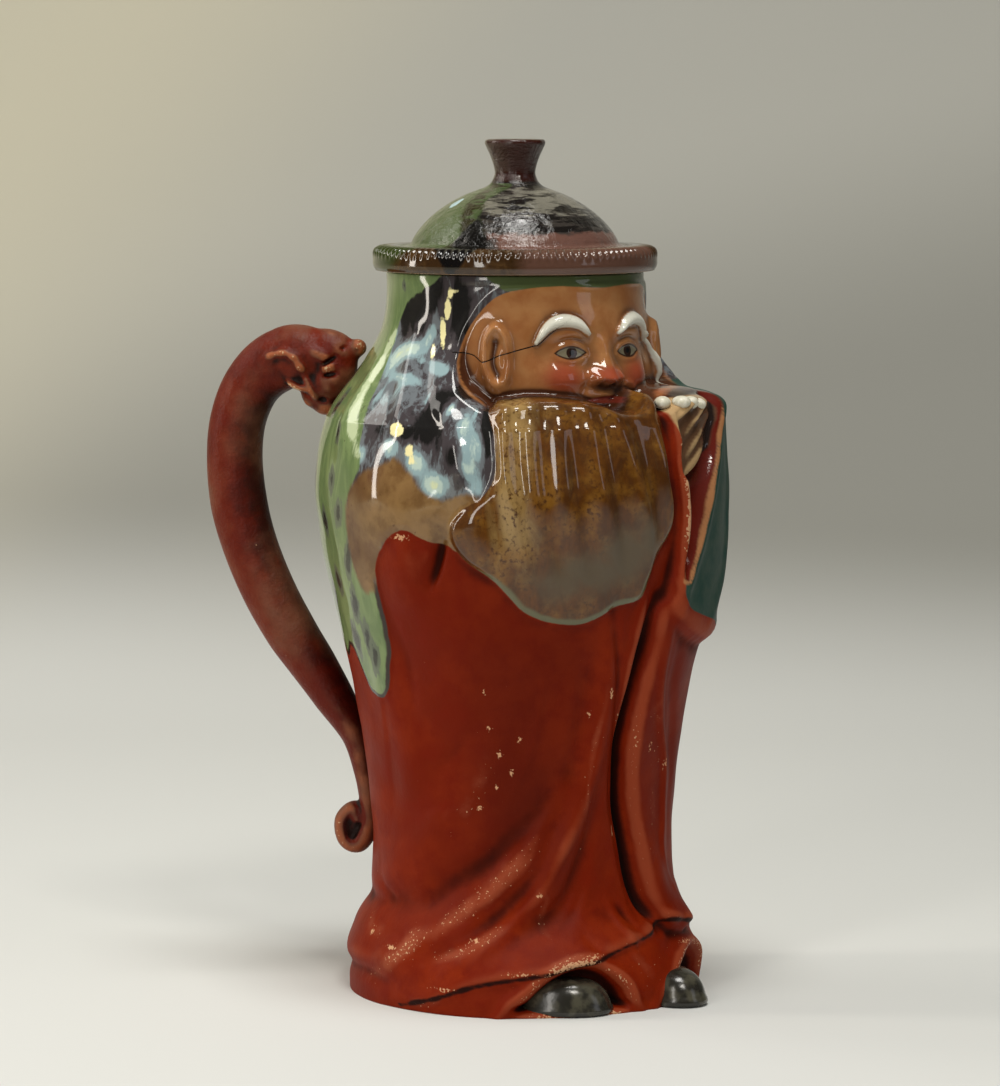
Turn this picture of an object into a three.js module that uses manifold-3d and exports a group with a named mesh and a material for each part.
// A lidded figural jug in glazed stoneware, in millimetres, +Z up, standing on z = 0 with the vessel's
// axis on the Z axis and the handle towards +Y. A robed, bearded old man wraps round the vessel: his
// beard, sleeves and hem are relief on the wall, and a dragon arches from his shoulder as the handle.
//
// The wall's relief is drawn on the unrolled surface. A place on it is [across, up]: degrees round the
// axis from the figure's nose towards his right hand, and height as a percentage of the jug's height.
import * as THREE from "three";
import { mergeVertices } from "three/addons/utils/BufferGeometryUtils.js";
import Module from "manifold-3d";

const wasm = await Module();
wasm.setup();

// Vessel
const JUG_HEIGHT = 203;
const FOOT_RADIUS = 47;
const WAIST_RADIUS = 41;
const BELLY_RADIUS = 56.3;
const RIM_RADIUS = 36.2;
const WALL = 5;
const FLOOR_THICKNESS = 7;
const MOUTH_DEPTH = 12;
const FIGURE_TURN = 142;

// Lid
const SEAT_GAP = 0.3;
const LID_OVERHANG = 3.8;
const LID_EDGE_HEIGHT = 7;
const DOME_RADIUS = 30;
const DOME_RISE = 16;
const KNOB_RADIUS = 8.5;
const KNOB_NECK_RADIUS = 5.3;
const KNOB_HEIGHT = 13.2;
const LID_EDGE_ROUND = 1.6;
const LID_WALL = 4;
const FLANGE_CLEARANCE = 0.8;
const FLANGE_WALL = 3.4;
const FLANGE_DEPTH = 5.5;

// Handle
const HANDLE_REACH = 81.8;
const HANDLE_THICKNESS = 15.8;
const HANDLE_WIDTH = 15.2;

// Relief, in millimetres out from the wall behind it. FOLD is the unit of the folds' widths and heights.
const FOLD = 1;
const BEARD_PROUD = 8;
const SLEEVE_PROUD = 3;
const CUFF_DEPTH = 8;
const HANGING_SLEEVE_PROUD = 4;
const HEM_STEP = 2.4;
const NOSE_PROUD = 7;
const BROW_PROUD = 2.2;
const EAR_PROUD = 3.4;
const SHOE_LENGTH = 25;
const SHOE_WIDTH = 17;
const SHOE_HEIGHT = 10.4;
const SHOE_RECESS = 6;
const SHOE_SET_BACK = 2.5;
const BEAD_RADIUS = 1.8;

// Mesh fineness
const FRONT_SPAN = [-72, 102];
const FRONT_COLUMNS = 43;
const BACK_COLUMNS = 16;
const ROW_BANDS = [
  [0, 15, 7],
  [15, 80, 19],
  [80, 100, 14],
];
const BORE_SIDES = 30;
const LID_SIDES = 30;

const RADIANS = Math.PI / 180;
const MM_PER_DEGREE = ((WAIST_RADIUS + BELLY_RADIUS) / 2) * RADIANS;
const UP = JUG_HEIGHT / 100;

const clamp = (x, low, high) => Math.min(Math.max(x, low), high);
const mix = (a, b, share) => a + (b - a) * share;
const bell = (x) => Math.exp(-x * x);

function smooth(edge0, edge1, x) {
  const s = clamp((x - edge0) / (edge1 - edge0), 0, 1);
  return s * s * (3 - 2 * s);
}

// 0 outside an edge, rising like a quarter round to 1 at the given distance inside it.
function roll(inside, width) {
  const s = clamp(inside / width, 0, 1);
  return Math.sqrt(s * (2 - s));
}

const place = ([across, up]) => new THREE.Vector2(across * MM_PER_DEGREE, up * UP);

function line(points) {
  return new THREE.SplineCurve(points.map(place)).getPoints(points.length * 4);
}

function outline(points) {
  const closed = points.map(place).map((p) => new THREE.Vector3(p.x, p.y, 0));
  return new THREE.CatmullRomCurve3(closed, true).getPoints(points.length * 4).slice(0, -1);
}

// Distance from p to the segment from a to b, how far along it (0 to 1), and which side p is on.
function toSegment(p, a, b) {
  const dx = b.x - a.x;
  const dy = b.y - a.y;
  const share = clamp(((p.x - a.x) * dx + (p.y - a.y) * dy) / (dx * dx + dy * dy), 0, 1);
  const away = Math.hypot(p.x - a.x - share * dx, p.y - a.y - share * dy);
  const side = Math.sign(dx * (p.y - a.y) - dy * (p.x - a.x)) || 1;
  return { away, share, side };
}

function nearest(p, path) {
  let best = { away: Infinity, along: 0, side: 1 };
  for (let i = 0; i + 1 < path.length; i++) {
    const hit = toSegment(p, path[i], path[i + 1]);
    if (hit.away < best.away)
      best = { away: hit.away, along: (i + hit.share) / (path.length - 1), side: hit.side };
  }
  return best;
}

// Signed distance in millimetres to a closed outline, positive inside it.
function inside(p, loop) {
  let away = Infinity;
  let crossings = 0;
  for (let i = 0; i < loop.length; i++) {
    const a = loop[i];
    const b = loop[(i + 1) % loop.length];
    away = Math.min(away, toSegment(p, a, b).away);
    if (a.y > p.y !== b.y > p.y && p.x < a.x + ((p.y - a.y) / (b.y - a.y)) * (b.x - a.x)) crossings++;
  }
  return crossings % 2 ? away : -away;
}

const taper = (along) => Math.sqrt(Math.sin(Math.PI * clamp(along, 0.02, 0.98)));

// A rounded fold or groove along a line: height is negative for a groove.
function fold(p, { path, width, height }) {
  const { away, along } = nearest(p, path);
  return height * taper(along) * bell(away / width);
}

// A cloth edge lying over what is on its right: the left side stands proud and dies away.
function lap(p, { path, width, height }) {
  const { away, along, side } = nearest(p, path);
  const share = side > 0 ? Math.exp(-away / width) : bell(away / (0.7 * FOLD));
  return height * taper(along) * share;
}

const folds = (list) =>
  list.map(([width, height, ...points]) => ({
    path: line(points),
    width: width * FOLD,
    height: height * FOLD,
  }));

// The plain vessel's outer radius at a height in percent, as shares between the named radii.
const PROFILE = [
  [0, FOOT_RADIUS],
  [5, FOOT_RADIUS],
  [9.3, mix(WAIST_RADIUS, FOOT_RADIUS, 0.72)],
  [13.6, mix(WAIST_RADIUS, FOOT_RADIUS, 0.04)],
  [26, WAIST_RADIUS],
  [41.5, mix(WAIST_RADIUS, BELLY_RADIUS, 0.25)],
  [53.7, mix(WAIST_RADIUS, BELLY_RADIUS, 0.64)],
  [64, mix(WAIST_RADIUS, BELLY_RADIUS, 0.91)],
  [72, BELLY_RADIUS],
  [80, mix(RIM_RADIUS, BELLY_RADIUS, 0.84)],
  [87.3, mix(RIM_RADIUS, BELLY_RADIUS, 0.33)],
  [92.5, mix(RIM_RADIUS, BELLY_RADIUS, 0.055)],
  [100, RIM_RADIUS],
];

function profile(up) {
  let i = 0;
  while (i < PROFILE.length - 2 && up > PROFILE[i + 1][0]) i++;
  const [u0, r0] = PROFILE[i];
  const [u1, r1] = PROFILE[i + 1];
  const slope = (a, b) => (b[1] - a[1]) / (b[0] - a[0]);
  const before = i > 0 ? slope(PROFILE[i - 1], PROFILE[i + 1]) : 0;
  const after = i + 2 < PROFILE.length ? slope(PROFILE[i], PROFILE[i + 2]) : 0;
  const s = clamp((up - u0) / (u1 - u0), 0, 1);
  const span = u1 - u0;
  return (
    r0 * (2 * s ** 3 - 3 * s ** 2 + 1) +
    before * span * (s ** 3 - 2 * s ** 2 + s) +
    r1 * (3 * s ** 2 - 2 * s ** 3) +
    after * span * (s ** 3 - s ** 2)
  );
}

// Drapery of the robe: [width, height, ...points], ridges positive and valleys negative.
const ROBE_FOLDS = folds([
  [5, 2.3, [86.5, 7.5], [71.5, 10.9], [56.3, 13.4], [40.3, 18.1], [31.8, 20.8], [23, 23.7], [17, 28]],
  [4.4, -2.4, [97, 13.2], [77, 14.6], [64.7, 17.4], [51, 20.7], [40.3, 24.6], [31.8, 27.7], [22, 32.6]],
  [6, 1.3, [110, 15.3], [89.5, 19.6], [74.6, 24], [64.6, 27.8], [52, 34]],
  [3, -1.9, [69.9, 7.5], [59.6, 9.2], [46.6, 13.1], [36, 17.3], [29.6, 20.7], [22, 27]],
  [3.4, 2, [62, 7], [52, 9.4], [42, 12.4], [32, 15.7], [24, 20.3], [15, 26.3], [8, 34.6], [6, 44], [8, 53]],
  [3.6, -1.7, [46.2, 8.7], [32, 11.3], [20.7, 14.8], [13.7, 20], [8, 27]],
  [7, 1.2, [96, 48], [88, 40], [84, 31], [92, 22]],
  [3, -1, [150, 13], [125, 13.2], [104, 13.6], [84, 14.6]],
  [3.4, 1.2, [160, 6], [126, 6], [104, 6.2], [88, 6.6], [73, 5.6]],
  [2, -1.4, [150, 3.4], [120, 3.6], [100, 4], [84, 3.2]],
  [1.2, -1.6, [10, 57], [6.8, 53], [3, 47], [0.5, 40.7], [0, 34], [-1, 28.8], [-5, 22], [-8, 17], [-10, 12]],
  [3, -1.2, [14, 49], [16, 38], [20, 30]],
  [1.6, -4.4, [-8, 57], [-6, 49], [-3.9, 42], [-3, 35.6], [-4.8, 28.7], [-9, 21.7], [-13, 14.5], [-17, 10]],
  [1.4, 1.8, [-3, 58], [-1.5, 52], [-0.8, 46], [-1.2, 38]],
  [1.6, -2.6, [60.5, 66], [63, 62.5], [65.5, 58.5]],
  [6, 1.6, [71, 65], [72, 60], [74, 54]],
  [5, -1.6, [-72, 46], [-76, 34], [-72, 20]],
  [6, 2, [-92, 50], [-96, 32], [-90, 12]],
  [5, -2, [-112, 44], [-116, 28], [-108, 12]],
  [6, 1.8, [205, 42], [196, 27], [204, 11]],
  [5, -1.8, [182, 40], [176, 26], [180, 11]],
]);

const OUTER_HEM = {
  path: line([
    [-130, 4],
    [-90, 5],
    [-60, 8],
    [-40, 10],
    [-22, 11.6],
    [-16, 10.8],
    [-10, 10],
    [-4, 9.6],
    [3, 9],
    [12, 7.9],
    [22, 7],
    [32, 6.2],
    [45, 5.4],
    [56, 4.2],
    [66, 2.6],
    [80, 1],
  ]),
  width: 9 * FOLD,
  height: HEM_STEP,
};

const SHOE_ARCHES = [
  [
    [45, -4], [42, 0.8], [37, 2.6], [32, 4.5], [26, 6], [19, 6.8], [12, 6.4], [6.5, 4.8], [3, 2.2], [1.5, -4],
  ],
  [
    [-7, -4], [-10, 1], [-15, 3.2], [-21, 5.2], [-29, 6.6], [-38, 6.8], [-45, 5.4], [-50, 2.6], [-52, -4],
  ],
].map(outline);

const HANGING_SLEEVE = outline([
  [-9.5, 56], [-7.5, 49], [-5.5, 42.4], [-4.5, 35.6], [-6.5, 28.6], [-11, 21.5], [-15, 14.4], [-21, 10.2],
  [-28, 9], [-37, 9.4], [-45, 12], [-50, 20], [-53, 32], [-58, 46], [-60, 58], [-34, 62],
]);
const HANGING_SLEEVE_FOLDS = folds([
  [1.3, 1.3, [-13.5, 54], [-14, 45], [-18, 39], [-25, 32.5], [-26.5, 25], [-26, 20], [-34, 15]],
  [2.6, -1, [-20, 52], [-22, 44], [-28, 38], [-34, 30], [-35, 20]],
  [6, 1.8, [-18, 20], [-24, 14.4], [-34, 13], [-44, 15]],
]);

const SLEEVE = outline([
  [-12, 83.2], [-11, 78], [-10.5, 73], [-12, 68], [-12.5, 62], [-11, 56], [-16, 52], [-34, 49], [-55, 50],
  [-76, 55], [-90, 64], [-93, 74], [-84, 81], [-66, 83.4], [-48, 83.8], [-28, 84],
]);
const CUFF_OPENING = outline([
  [-15.5, 85], [-14, 79], [-13.5, 73], [-15, 67.5], [-15, 62], [-14.5, 58.6], [-18, 62], [-22, 66.5],
  [-26, 71], [-31, 76], [-36, 80], [-40, 85],
]);
const SLEEVE_FOLDS = folds([
  [1.6, 1.4, [-46, 80], [-48, 70], [-44, 60], [-30, 52]],
  [3, -1.6, [-56, 78], [-60, 68], [-54, 58], [-38, 50]],
  [4, 1.6, [-70, 78], [-76, 68], [-70, 57]],
]);
const HAND = outline([
  [-12.5, 83], [-12.5, 78], [-12, 73.5], [-16, 72], [-20, 72.4], [-26, 74], [-32, 77.4], [-37, 83],
]);
const FINGERS = folds([
  [1.1, 1.5, [-35, 82.4], [-25, 81], [-13, 79.6]],
  [1.1, 1.5, [-34, 80.8], [-24, 78.4], [-13, 76.6]],
  [1.1, 1.5, [-32, 79], [-23, 76], [-14, 74.2]],
  [1.1, 1.5, [-29, 76.6], [-22, 74.2], [-17, 72.4]],
]);

const UPPER_ARM = { across: 76, up: 67.5, wide: 15, tall: 9, height: 2.4 * FOLD };
const ROBE_OVER_CLOAK = {
  path: line([
    [96, 30], [93, 42.2], [89, 43.7], [87, 47.2], [86, 50.7], [86, 55], [86, 59], [84, 61.8], [80, 63.8],
    [75, 65.8], [71, 66.2], [66, 65],
  ]),
  width: 8 * FOLD,
  height: -1.3 * FOLD,
};

const BEARD = outline([
  [48, 83], [46, 79], [45.5, 74], [49, 71], [54, 69.4], [58, 67], [57.5, 64.5], [54, 62.3], [50, 61],
  [46, 59.6], [42, 57.6], [38, 55.6], [33, 54.4], [27, 53.7], [20, 53.5], [14, 54.3], [8, 55.7],
  [0, 56.5], [-2.5, 59], [-5, 62.6], [-9.4, 66], [-9.4, 69.5], [-7, 73], [-7, 77], [-9, 81], [-12, 84.2],
  [-7, 83.8], [0, 82],
  [7, 82.4], [14, 83.4], [30, 84], [40, 83.8],
]);
const BEARD_LOCKS = folds([
  [2, 2.2, [38, 83], [38.5, 77], [38, 70], [37, 62.5], [33, 56.6]],
  [1.4, -1.4, [34.5, 83], [34.3, 74], [33, 64], [30, 58]],
  [2.2, 1.7, [30.5, 83], [31, 77], [32, 70], [30, 63]],
  [1.6, -1.6, [26, 82.4], [26, 74], [24, 66.5], [22, 58]],
  [3, 1.5, [20, 83], [19, 76], [17, 69], [14, 62]],
  [1.3, -1.7, [15, 82.4], [13, 74], [10, 66.5], [8, 59]],
  [2.2, 1.9, [9.5, 82.6], [8, 78.8], [4, 72.4], [0, 66], [-2, 60.6]],
  [1.3, -1.5, [4, 82], [1.5, 76], [-2.5, 69], [-5, 63]],
  [1.8, 1.6, [-10.5, 82.8], [-6.5, 77], [-7.5, 72], [-9, 67]],
  [5, 1.8, [50, 69.6], [50, 65], [46, 60]],
]);

const FACE_WINDOW = outline([
  [0, 98.3], [20, 98.6], [38, 98.2], [49, 97], [57, 94.4], [62, 91.4], [63, 88.4], [60, 85.6], [53, 83.4],
  [44, 82], [20, 80.6], [0, 80.6], [-12, 82], [-20, 84], [-34, 84.4], [-50, 84.2], [-58, 85.6], [-63, 88.4],
  [-62, 91.4], [-57, 94.4], [-49, 97], [-38, 98.2], [-20, 98.6],
]);
const HOOD_FOLDS = folds([
  [3, 1.6, [88, 93], [82, 87], [76, 81], [70, 77]],
  [2.2, -1.2, [78, 90], [72, 84.6], [64, 80.6], [56, 79]],
  [3, 1.8, [66, 83.4], [60, 80.4], [56, 76], [55, 72]],
  [4, 1.4, [108, 92], [104, 84], [100, 76]],
  [5, 1.6, [150, 78], [152, 66], [150, 54]],
  [5, 1.4, [186, 80], [190, 68], [188, 52]],
  [4, -1.4, [170, 74], [171, 62], [170, 50]],
  [3, 1.6, [-76, 94], [-82, 86], [-92, 78]],
  [4, 1.4, [-116, 90], [-118, 78], [-116, 62]],
  [4, -1.2, [-104, 84], [-106, 72], [-104, 58]],
]);

// The face: laid out in thirds between the hood's edge and the chin, and in fifths across.
const HAIRLINE = 98.3;
const CHIN = 79;
const THIRD = (HAIRLINE - CHIN) / 3;
const BROW_LINE = HAIRLINE - THIRD;
const NOSE_BASE = BROW_LINE - THIRD;
const MOUTH_LINE = NOSE_BASE - THIRD / 3;
const EYE_LINE = BROW_LINE - THIRD * 0.34;
const FACE_WIDTH = 52;
const EYE_WIDTH = FACE_WIDTH / 5;

const BROWS = folds([
  [1.7, BROW_PROUD, [8, 92.2], [13, 93.6], [20, 94], [26, 93.2], [31, 91]],
  [1.7, BROW_PROUD, [-8, 92.2], [-13, 93.6], [-20, 94], [-26, 93.2], [-31, 91]],
  [1, 1.2, [-29, 91.6], [-38, 90], [-43, 87], [-44, 83]],
]);
const EARS = [1, -1].map((side) => ({
  rim: line([[44, 85], [42.6, 88], [43.6, 91.6], [48, 93.2], [52, 91.4], [52, 88], [49, 85.4], [46, 84]]
    .map(([across, up]) => [across * side, up])),
  bowl: line([[48, 91], [49, 88.4], [47, 86.6]].map(([across, up]) => [across * side, up])),
}));

function face(p, across, up) {
  const x = across * RADIANS * RIM_RADIUS;
  const z = (up - EYE_LINE) * UP;
  const third = THIRD * UP;
  const noseBase = (NOSE_BASE - EYE_LINE) * UP;
  const mouth = (MOUTH_LINE - EYE_LINE) * UP;
  const eye = Math.abs(x) - EYE_WIDTH;
  const down = clamp(z / noseBase, 0, 1);
  const noseWidth = EYE_WIDTH * mix(0.25, 0.44, down);
  const noseHeight = NOSE_PROUD * mix(0.3, 1, down ** 1.3);
  const noseSpan =
    smooth(noseBase - 0.2 * third, noseBase + 0.2 * third, z) * (1 - smooth(0, third * 0.5, z));
  let r = noseHeight * bell(x / noseWidth) * noseSpan;
  r += 0.17 * NOSE_PROUD * bell(x / (0.33 * FACE_WIDTH)) * bell((z - third * 0.75) / (0.38 * third));
  r -= 0.32 * NOSE_PROUD * bell(eye / (0.44 * EYE_WIDTH)) * bell(z / (0.23 * third));
  r += 0.27 * NOSE_PROUD * bell(eye / (0.33 * EYE_WIDTH)) * bell(z / (0.15 * third));
  r += 0.3 * NOSE_PROUD * bell((Math.abs(x) - 0.4 * EYE_WIDTH) / (0.16 * EYE_WIDTH)) *
    bell((z - noseBase - 0.15 * third) / (0.15 * third));
  r += 0.3 * NOSE_PROUD * bell((Math.abs(x) - FACE_WIDTH / 4) / (0.6 * EYE_WIDTH)) *
    bell((z - noseBase - 0.08 * third) / (0.38 * third));
  r += 0.18 * NOSE_PROUD * bell(x / (0.8 * EYE_WIDTH)) * bell((z - mouth) / (0.26 * third));
  r -= 0.16 * NOSE_PROUD * bell(x / (0.62 * EYE_WIDTH)) * bell((z - mouth) / (0.06 * third));
  for (const brow of BROWS) r += fold(p, brow);
  return r;
}

function ear(p, { rim, bowl }) {
  const flesh = nearest(p, bowl).away / FOLD;
  return (
    EAR_PROUD * 0.75 * bell(flesh / 5) +
    EAR_PROUD * 0.5 * bell(nearest(p, rim).away / (1.2 * FOLD)) -
    EAR_PROUD * 0.4 * bell(flesh / 1.5)
  );
}

// The raised left sleeve, the dark opening of its cuff, and the hand that lies in it.
function raisedSleeve(p, up, wall) {
  const cloth = BELLY_RADIUS + SLEEVE_PROUD;
  const bow = 0.1 * SLEEVE_PROUD * ((up - 72) / 8) ** 2;
  const creases = SLEEVE_FOLDS.reduce((total, item) => total + fold(p, item), 0);
  let r = mix(wall, Math.max(wall, cloth - bow + creases), roll(inside(p, SLEEVE), 5 * FOLD));
  r = mix(r, cloth - CUFF_DEPTH, smooth(0, 2 * FOLD, inside(p, CUFF_OPENING)));
  const knuckles = FINGERS.reduce((total, item) => total + fold(p, item), 0);
  return mix(r, cloth - CUFF_DEPTH / 2 + knuckles, roll(inside(p, HAND), 2.6 * FOLD));
}

// The beard hangs from just under the face and rides over the chest and the robe.
function beard(p, up, wall) {
  const fall = clamp((84 - up) / 22, 0, 1);
  const top = RIM_RADIUS + 1.3 * BEARD_PROUD;
  const swell = BEARD_PROUD * Math.sin((fall * Math.PI) / 2) ** 0.8 - 0.3 * BEARD_PROUD * smooth(62, 54, up);
  const locks = BEARD_LOCKS.reduce((total, item) => total + fold(p, item), 0);
  const hair = Math.max(top + swell, wall + 0.2 * BEARD_PROUD);
  return mix(wall, hair + locks, roll(inside(p, BEARD), 3.4 * FOLD));
}

// The hood stands proud round the face, which is set back inside it with its features and ears.
function head(p, across, up, wall) {
  const window = inside(p, FACE_WINDOW) / FOLD;
  const bare = smooth(-0.6, 1, window) * (1 - roll(inside(p, BEARD), 1.5 * FOLD));
  const skull = RIM_RADIUS + 0.2 * BEARD_PROUD * (1 - smooth(88, 97, up));
  let r = mix(wall, skull, bare * smooth(-1, 1, window));
  r += 0.9 * FOLD * bell((window + 1.6) / 1.6) * smooth(82.5, 84.5, up);
  if (bare > 0) r += bare * (face(p, across, up) + ear(p, EARS[across > 0 ? 0 : 1]));
  return r;
}

// The outer radius of the jug at a place on its unrolled surface.
function surface(across, up) {
  const p = place([across, up]);
  let r = profile(up) + [...ROBE_FOLDS, ...HOOD_FOLDS].reduce((total, item) => total + fold(p, item), 0);
  r += HEM_STEP * 2 * bell((across - 18) / 62) * (1 - smooth(2, 13, up));
  r += HEM_STEP * 1.7 * bell((across + 40) / 40) * (1 - smooth(3, 16, up));
  r += lap(p, OUTER_HEM);
  for (const arch of SHOE_ARCHES) {
    const depth = inside(p, arch) / FOLD;
    r -= SHOE_RECESS * smooth(0, 3.4, depth);
    r += 0.2 * SHOE_RECESS * bell((depth + 1.4) / 1.6);
  }
  const panelFolds = HANGING_SLEEVE_FOLDS.reduce((total, item) => total + fold(p, item), 0);
  r += (HANGING_SLEEVE_PROUD + panelFolds) * roll(inside(p, HANGING_SLEEVE), 4 * FOLD);
  const arm = Math.hypot((across - UPPER_ARM.across) / UPPER_ARM.wide, (up - UPPER_ARM.up) / UPPER_ARM.tall);
  r += UPPER_ARM.height * bell(arm) + lap(p, ROBE_OVER_CLOAK);
  r = raisedSleeve(p, up, r);
  r = beard(p, up, r);
  if (up > 78) r = head(p, across, up, r);
  return mix(r, RIM_RADIUS, smooth(97.6, 99.2, up));
}

function columns() {
  const [from, to] = FRONT_SPAN;
  const front = Array.from({ length: FRONT_COLUMNS }, (_, i) => mix(from, to, i / FRONT_COLUMNS));
  const back = Array.from({ length: BACK_COLUMNS }, (_, i) => mix(to, from + 360, i / BACK_COLUMNS));
  return [...front, ...back];
}

function rows() {
  const heights = ROW_BANDS.flatMap(([from, to, count]) =>
    Array.from({ length: count }, (_, i) => mix(from, to, i / count)),
  );
  return [...heights, 100];
}

// The drawing's own range of degrees: its seam is behind the figure's left shoulder.
const drawn = (across) => (across > 230 ? across - 360 : across);

function at(radius, across, up) {
  const angle = (FIGURE_TURN + 90 - across) * RADIANS;
  return [radius * Math.cos(angle), radius * Math.sin(angle), up * UP];
}

// A closed skin from rings of points, bottom ring first, with a point on the axis at each end.
function skin(rings, bottom, top) {
  const sides = rings[0].length;
  const positions = [...rings.flat(), bottom, top];
  const faces = [];
  const index = (ring, side) => ring * sides + (side % sides);
  for (let i = 0; i + 1 < rings.length; i++)
    for (let j = 0; j < sides; j++)
      faces.push(
        index(i, j), index(i + 1, j), index(i, j + 1),
        index(i, j + 1), index(i + 1, j), index(i + 1, j + 1),
      );
  for (let j = 0; j < sides; j++)
    faces.push(
      index(0, j), index(0, j + 1), positions.length - 2,
      index(rings.length - 1, j + 1), index(rings.length - 1, j), positions.length - 1,
    );
  const geometry = new THREE.BufferGeometry();
  geometry.setAttribute("position", new THREE.Float32BufferAttribute(positions.flat(), 3));
  geometry.setIndex(faces);
  return geometry;
}

function solid(geometry) {
  const bare = geometry.clone();
  for (const name of ["normal", "uv"]) bare.deleteAttribute(name);
  const merged = mergeVertices(bare, 1e-4);
  return new wasm.Manifold(
    new wasm.Mesh({
      numProp: 3,
      vertProperties: merged.attributes.position.array,
      triVerts: new Uint32Array(merged.index.array),
    }),
  );
}

function geometryOf(manifold) {
  const { vertProperties, triVerts, numProp } = manifold.getMesh();
  const geometry = new THREE.BufferGeometry();
  const positions = [];
  for (let i = 0; i < vertProperties.length; i += numProp)
    positions.push(vertProperties[i], vertProperties[i + 1], vertProperties[i + 2]);
  geometry.setAttribute("position", new THREE.Float32BufferAttribute(positions, 3));
  geometry.setIndex([...triVerts]);
  geometry.computeVertexNormals();
  return geometry;
}

// A solid turned about the Z axis from [radius, height] pairs that start and end on the axis.
function turned(pairs, sides) {
  const points = pairs.map(([radius, height]) => new THREE.Vector2(radius, height));
  return solid(new THREE.LatheGeometry(points, sides).rotateX(Math.PI / 2));
}

// A ball stretched to three half sizes, tilted about the X axis and moved.
function lump([halfX, halfY, halfZ], [x, y, z], tilt = 0, sides = 10) {
  const ball = new THREE.SphereGeometry(1, sides, Math.round(sides * 0.7));
  ball.scale(halfX, halfY, halfZ).rotateX(tilt * RADIANS).translate(x, y, z);
  return solid(ball);
}

const MOUTH_BORE = RIM_RADIUS - WALL;

function vesselWall() {
  const places = columns().map(drawn);
  const rings = rows().map((up) => places.map((across) => at(surface(across, up), across, up)));
  return solid(skin(rings, [0, 0, 0], [0, 0, JUG_HEIGHT]));
}

// The hollow inside: a turned space that keeps the wall's thickness behind the thinnest place of each ring.
function hollow() {
  const thinnest = (up) =>
    Math.min(...columns().map((across) => surface(drawn(across), up))) - WALL;
  const floor = (FLOOR_THICKNESS / JUG_HEIGHT) * 100;
  const neck = 100 - (MOUTH_DEPTH / JUG_HEIGHT) * 100;
  const levels = [floor, 12, 22, 34, 40, 48, 58, 68, 75, 79, 82, 86, 90];
  const radius = (up) => Math.max(Math.min(thinnest(up), profile(up) - WALL), MOUTH_BORE);
  const wall = levels.map((up) => [radius(up), up * UP]);
  const [floorRadius] = wall[0];
  return turned(
    [
      [0, FLOOR_THICKNESS],
      [floorRadius - WALL, FLOOR_THICKNESS],
      [floorRadius - 0.2 * WALL, FLOOR_THICKNESS + 0.6 * WALL],
      ...wall.slice(1),
      [MOUTH_BORE, neck * UP],
      [MOUTH_BORE, JUG_HEIGHT + WALL],
      [0, JUG_HEIGHT + WALL],
    ],
    BORE_SIDES,
  );
}

// The handle's centre line in the YZ plane: [reach, height in percent, half thickness, half width],
// from the dragon's neck over and down to the curl of its tail.
function handleLine() {
  const thick = HANDLE_THICKNESS / 2;
  const wide = HANDLE_WIDTH / 2;
  const strap = (up, out) => profile(up) + out * thick;
  return [
    [HANDLE_REACH * 0.74, 87.2, thick * 0.9, wide * 0.7],
    [HANDLE_REACH * 0.84, 86.9, thick * 1.1, wide * 1.02],
    [HANDLE_REACH * 0.93, 84, thick * 1.02, wide],
    [HANDLE_REACH * 0.985, 79.2, thick, wide],
    [HANDLE_REACH, 73.6, thick, wide],
    [HANDLE_REACH * 0.985, 67, thick * 1.03, wide],
    [HANDLE_REACH * 0.945, 61, thick * 0.99, wide],
    [HANDLE_REACH * 0.88, 54.8, thick * 0.96, wide],
    [HANDLE_REACH * 0.8, 49, thick * 0.93, wide * 0.96],
    [HANDLE_REACH * 0.72, 44.4, thick * 0.84, wide * 0.92],
    [HANDLE_REACH * 0.645, 39.8, thick * 0.72, wide * 0.86],
    [strap(34.5, 0.3), 34.5, thick * 0.52, wide * 0.76],
    [strap(29, 0.18), 29, thick * 0.4, wide * 0.66],
    [strap(25, 0.15), 25, thick * 0.34, wide * 0.6],
    [strap(21.5, 0.1), 21.5, thick * 0.32, wide * 0.58],
    [strap(19, 0.43), 19, thick * 0.34, wide * 0.6],
    [strap(19.8, 0.87), 19.8, thick * 0.34, wide * 0.6],
    [strap(22.4, 1.01), 22.4, thick * 0.34, wide * 0.6],
    [strap(24, 0.73), 24, thick * 0.32, wide * 0.6],
    [strap(22.6, 0.49), 22.6, thick * 0.3, wide * 0.56],
  ].map(([reach, up, halfThick, halfWide]) => ({ reach, height: up * UP, halfThick, halfWide }));
}

function handleBar() {
  const stations = handleLine();
  const spine = new THREE.CatmullRomCurve3(stations.map((s) => new THREE.Vector3(0, s.reach, s.height)));
  const steps = (stations.length - 1) * 2;
  const sides = 12;
  const rings = [];
  for (let i = 0; i <= steps; i++) {
    const share = i / steps;
    const centre = spine.getPoint(share);
    const along = spine.getTangent(share);
    const out = new THREE.Vector3(0, -along.z, along.y);
    const k = share * (stations.length - 1);
    const a = stations[Math.floor(k)];
    const b = stations[Math.min(Math.floor(k) + 1, stations.length - 1)];
    const thick = mix(a.halfThick, b.halfThick, k % 1);
    const wide = mix(a.halfWide, b.halfWide, k % 1);
    rings.push(
      Array.from({ length: sides }, (_, j) => {
        const angle = (j / sides) * 2 * Math.PI;
        return [
          wide * Math.cos(angle),
          centre.y + out.y * thick * Math.sin(angle),
          centre.z + out.z * thick * Math.sin(angle),
        ];
      }),
    );
  }
  const ends = [spine.getPoint(0), spine.getPoint(1)].map((p) => [0, p.y, p.z]);
  return solid(skin(rings, ends[0], ends[1]));
}

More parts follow.
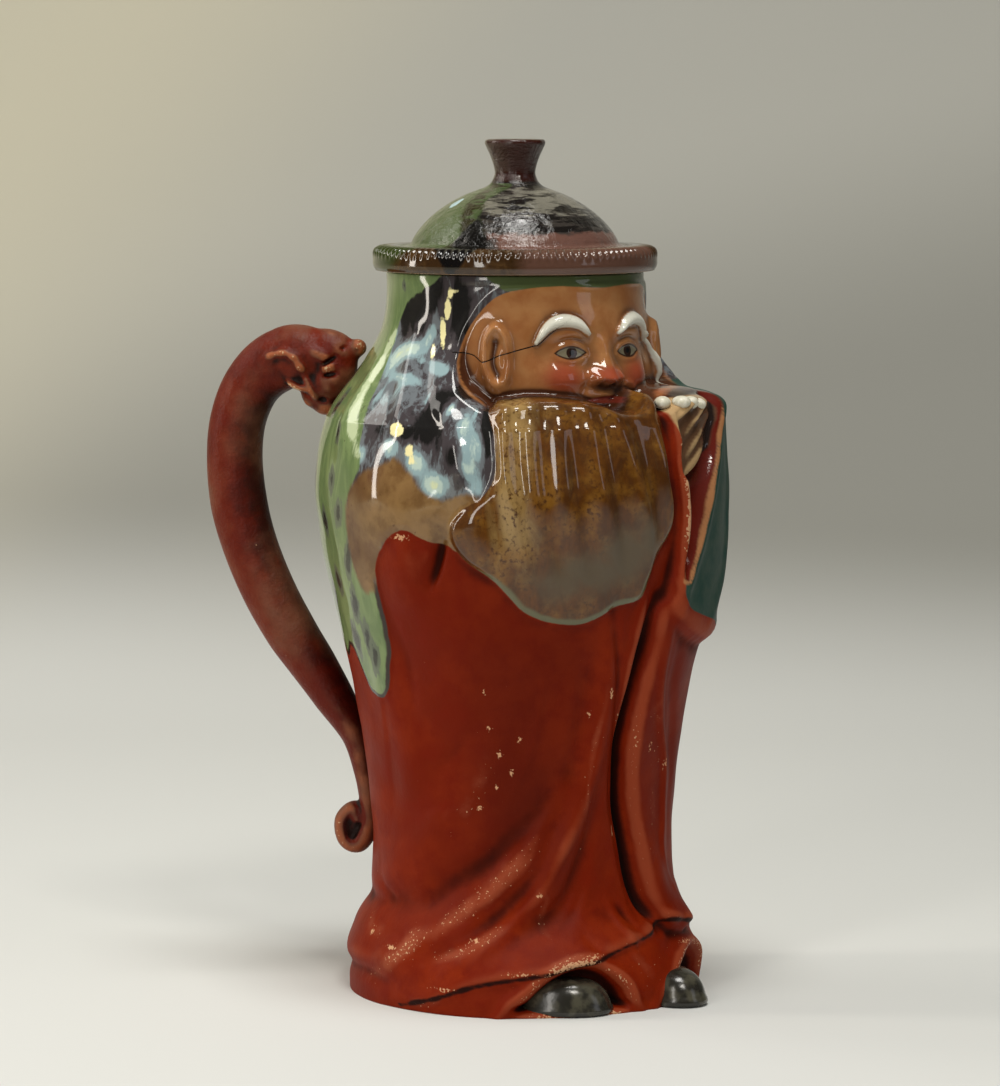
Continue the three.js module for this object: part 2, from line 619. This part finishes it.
// The dragon's head bites the shoulder where the handle meets the wall. A lump is [across, out from the
// wall, height in percent] and its half sizes, all but the percentages in half thicknesses of the bar.
function dragonHead() {
  const thick = HANDLE_THICKNESS / 2;
  const biteUp = 87.3;
  const bite = profile(biteUp);
  const piece = ([halfX, halfY, halfZ], [x, out, up], tilt, sides) =>
    lump(
      [halfX * thick, halfY * thick, halfZ * thick],
      [x * thick, bite + out * thick, up * UP],
      tilt,
      sides,
    );
  const parts = [
    piece([1.06, 1.6, 1.17], [0, 2.56, biteUp + 0.4], 4, 11),
    piece([0.82, 1.16, 0.84], [0, 1.46, biteUp + 1.1], 12, 9),
    piece([0.42, 0.34, 0.32], [0, 0.37, biteUp + 1.8], 0, 7),
    piece([0.84, 1.34, 0.86], [0, 1.4, biteUp - 2.3], -54, 10),
    piece([0.5, 0.52, 0.46], [0, 1.56, biteUp - 5.8], 20, 7),
  ];
  for (const side of [-1, 1])
    parts.push(
      piece([0.24, 0.3, 0.26], [side * 0.78, 1.3, biteUp - 0.8], 0, 6),
      piece([0.27, 0.74, 0.24], [side * 0.98, 2.8, biteUp + 0.8], 16, 8),
      piece([0.2, 0.6, 0.17], [side * 0.8, 1.98, biteUp - 3.2], 68, 6),
    );
  return parts;
}

// The curl of the tail is closed by a small boss inside it.
function tailBoss() {
  const thick = HANDLE_THICKNESS / 2;
  const half = [HANDLE_WIDTH * 0.22, thick * 0.44, thick * 0.4];
  return lump(half, [0, profile(21.4) + thick * 0.62, 21.6 * UP], 7, 9);
}

// A shoe has its sole flat on the floor, and points the way the figure faces or is turned from there.
function shoe(across, reach, turned) {
  const half = [SHOE_WIDTH / 2, SHOE_LENGTH / 2, SHOE_HEIGHT];
  const ball = new THREE.SphereGeometry(1, 12, 8).scale(...half);
  const [x, y] = at(reach, across, 0);
  ball.rotateZ((FIGURE_TURN + turned) * RADIANS).translate(x, y, 0);
  return solid(ball);
}

// A row of beads along the top of the hand, each half sunk in the ledge it lies on.
function beads() {
  return [
    [-12.5, 83.2, 1.3],
    [-17.5, 83.2, 1.5],
    [-23, 83, 1.3],
    [-28, 82.6, 1.3],
  ].map(([across, up, stretch]) => {
    const half = BEAD_RADIUS * stretch;
    const ledge = Math.min(...[-2.5, 0, 2.5].map((aside) => surface(across + aside, up - 2)));
    return lump([half, half, BEAD_RADIUS], at(ledge - half / 3, across, up - 0.4), 0, 8);
  });
}

function jugBody() {
  const below = solid(
    new THREE.BoxGeometry(4 * BELLY_RADIUS, 4 * BELLY_RADIUS, JUG_HEIGHT).translate(0, 0, -JUG_HEIGHT / 2),
  );
  const parts = [vesselWall(), handleBar(), tailBoss(), ...dragonHead(), ...beads()];
  const reach = FOOT_RADIUS - SHOE_SET_BACK;
  const shoes = [shoe(20.6, reach, 50), shoe(-19, reach + SHOE_SET_BACK * 2, 0)]
    .map((item) => item.subtract(below));
  const whole = [...parts, ...shoes].reduce((sum, part) => sum.add(part));
  return geometryOf(whole.subtract(hollow()));
}

function lid() {
  const seat = JUG_HEIGHT + SEAT_GAP;
  const edge = RIM_RADIUS + LID_OVERHANG;
  const edgeTop = seat + LID_EDGE_HEIGHT;
  const shoulder = edgeTop + 0.3 * LID_EDGE_ROUND;
  const domeTop = shoulder + DOME_RISE;
  const plug = MOUTH_BORE - FLANGE_CLEARANCE;
  const plugBore = plug - FLANGE_WALL;
  const crown = domeTop - LID_WALL;
  const spring = seat + 0.6 * LID_WALL;
  const quarter = (share) => Math.sin((share * Math.PI) / 2);
  const dome = (share) => [
    mix(DOME_RADIUS, 1.3 * KNOB_NECK_RADIUS, share),
    shoulder + DOME_RISE * quarter(share) ** 0.82,
  ];
  const under = (share) => [mix(plugBore, 0, share), mix(spring, crown, quarter(share) ** 0.9)];
  const knob = (radius, share) => [radius, domeTop + KNOB_HEIGHT * share];
  const pairs = [
    ...[1, 0.7, 0.45, 0.2, 0].map(under),
    [plugBore, seat - FLANGE_DEPTH],
    [plug, seat - FLANGE_DEPTH],
    [plug, seat],
    [edge - LID_EDGE_ROUND, seat],
    [edge, seat + LID_EDGE_ROUND],
    [edge, edgeTop - LID_EDGE_ROUND],
    [edge - LID_EDGE_ROUND, edgeTop],
    [mix(edge, DOME_RADIUS, 0.45), shoulder],
    ...[0, 0.18, 0.36, 0.54, 0.72, 0.88, 1].map(dome),
    knob(KNOB_NECK_RADIUS, 0.2),
    knob(1.13 * KNOB_NECK_RADIUS, 0.38),
    knob(0.81 * KNOB_RADIUS, 0.66),
    knob(KNOB_RADIUS, 0.87),
    knob(0.9 * KNOB_RADIUS, 1),
    knob(0, 1),
  ];
  return geometryOf(turned(pairs, LID_SIDES));
}

function piece(name, geometry, colour, roughness) {
  const finish = { color: colour, roughness, metalness: 0, flatShading: true };
  const mesh = new THREE.Mesh(geometry, new THREE.MeshStandardMaterial(finish));
  mesh.name = name;
  return mesh;
}

const jug = new THREE.Group();
jug.add(piece("jug_body", jugBody(), 0x8a2a1a, 0.55));
jug.add(piece("lid", lid(), 0x4a3a30, 0.15));

export default jug;
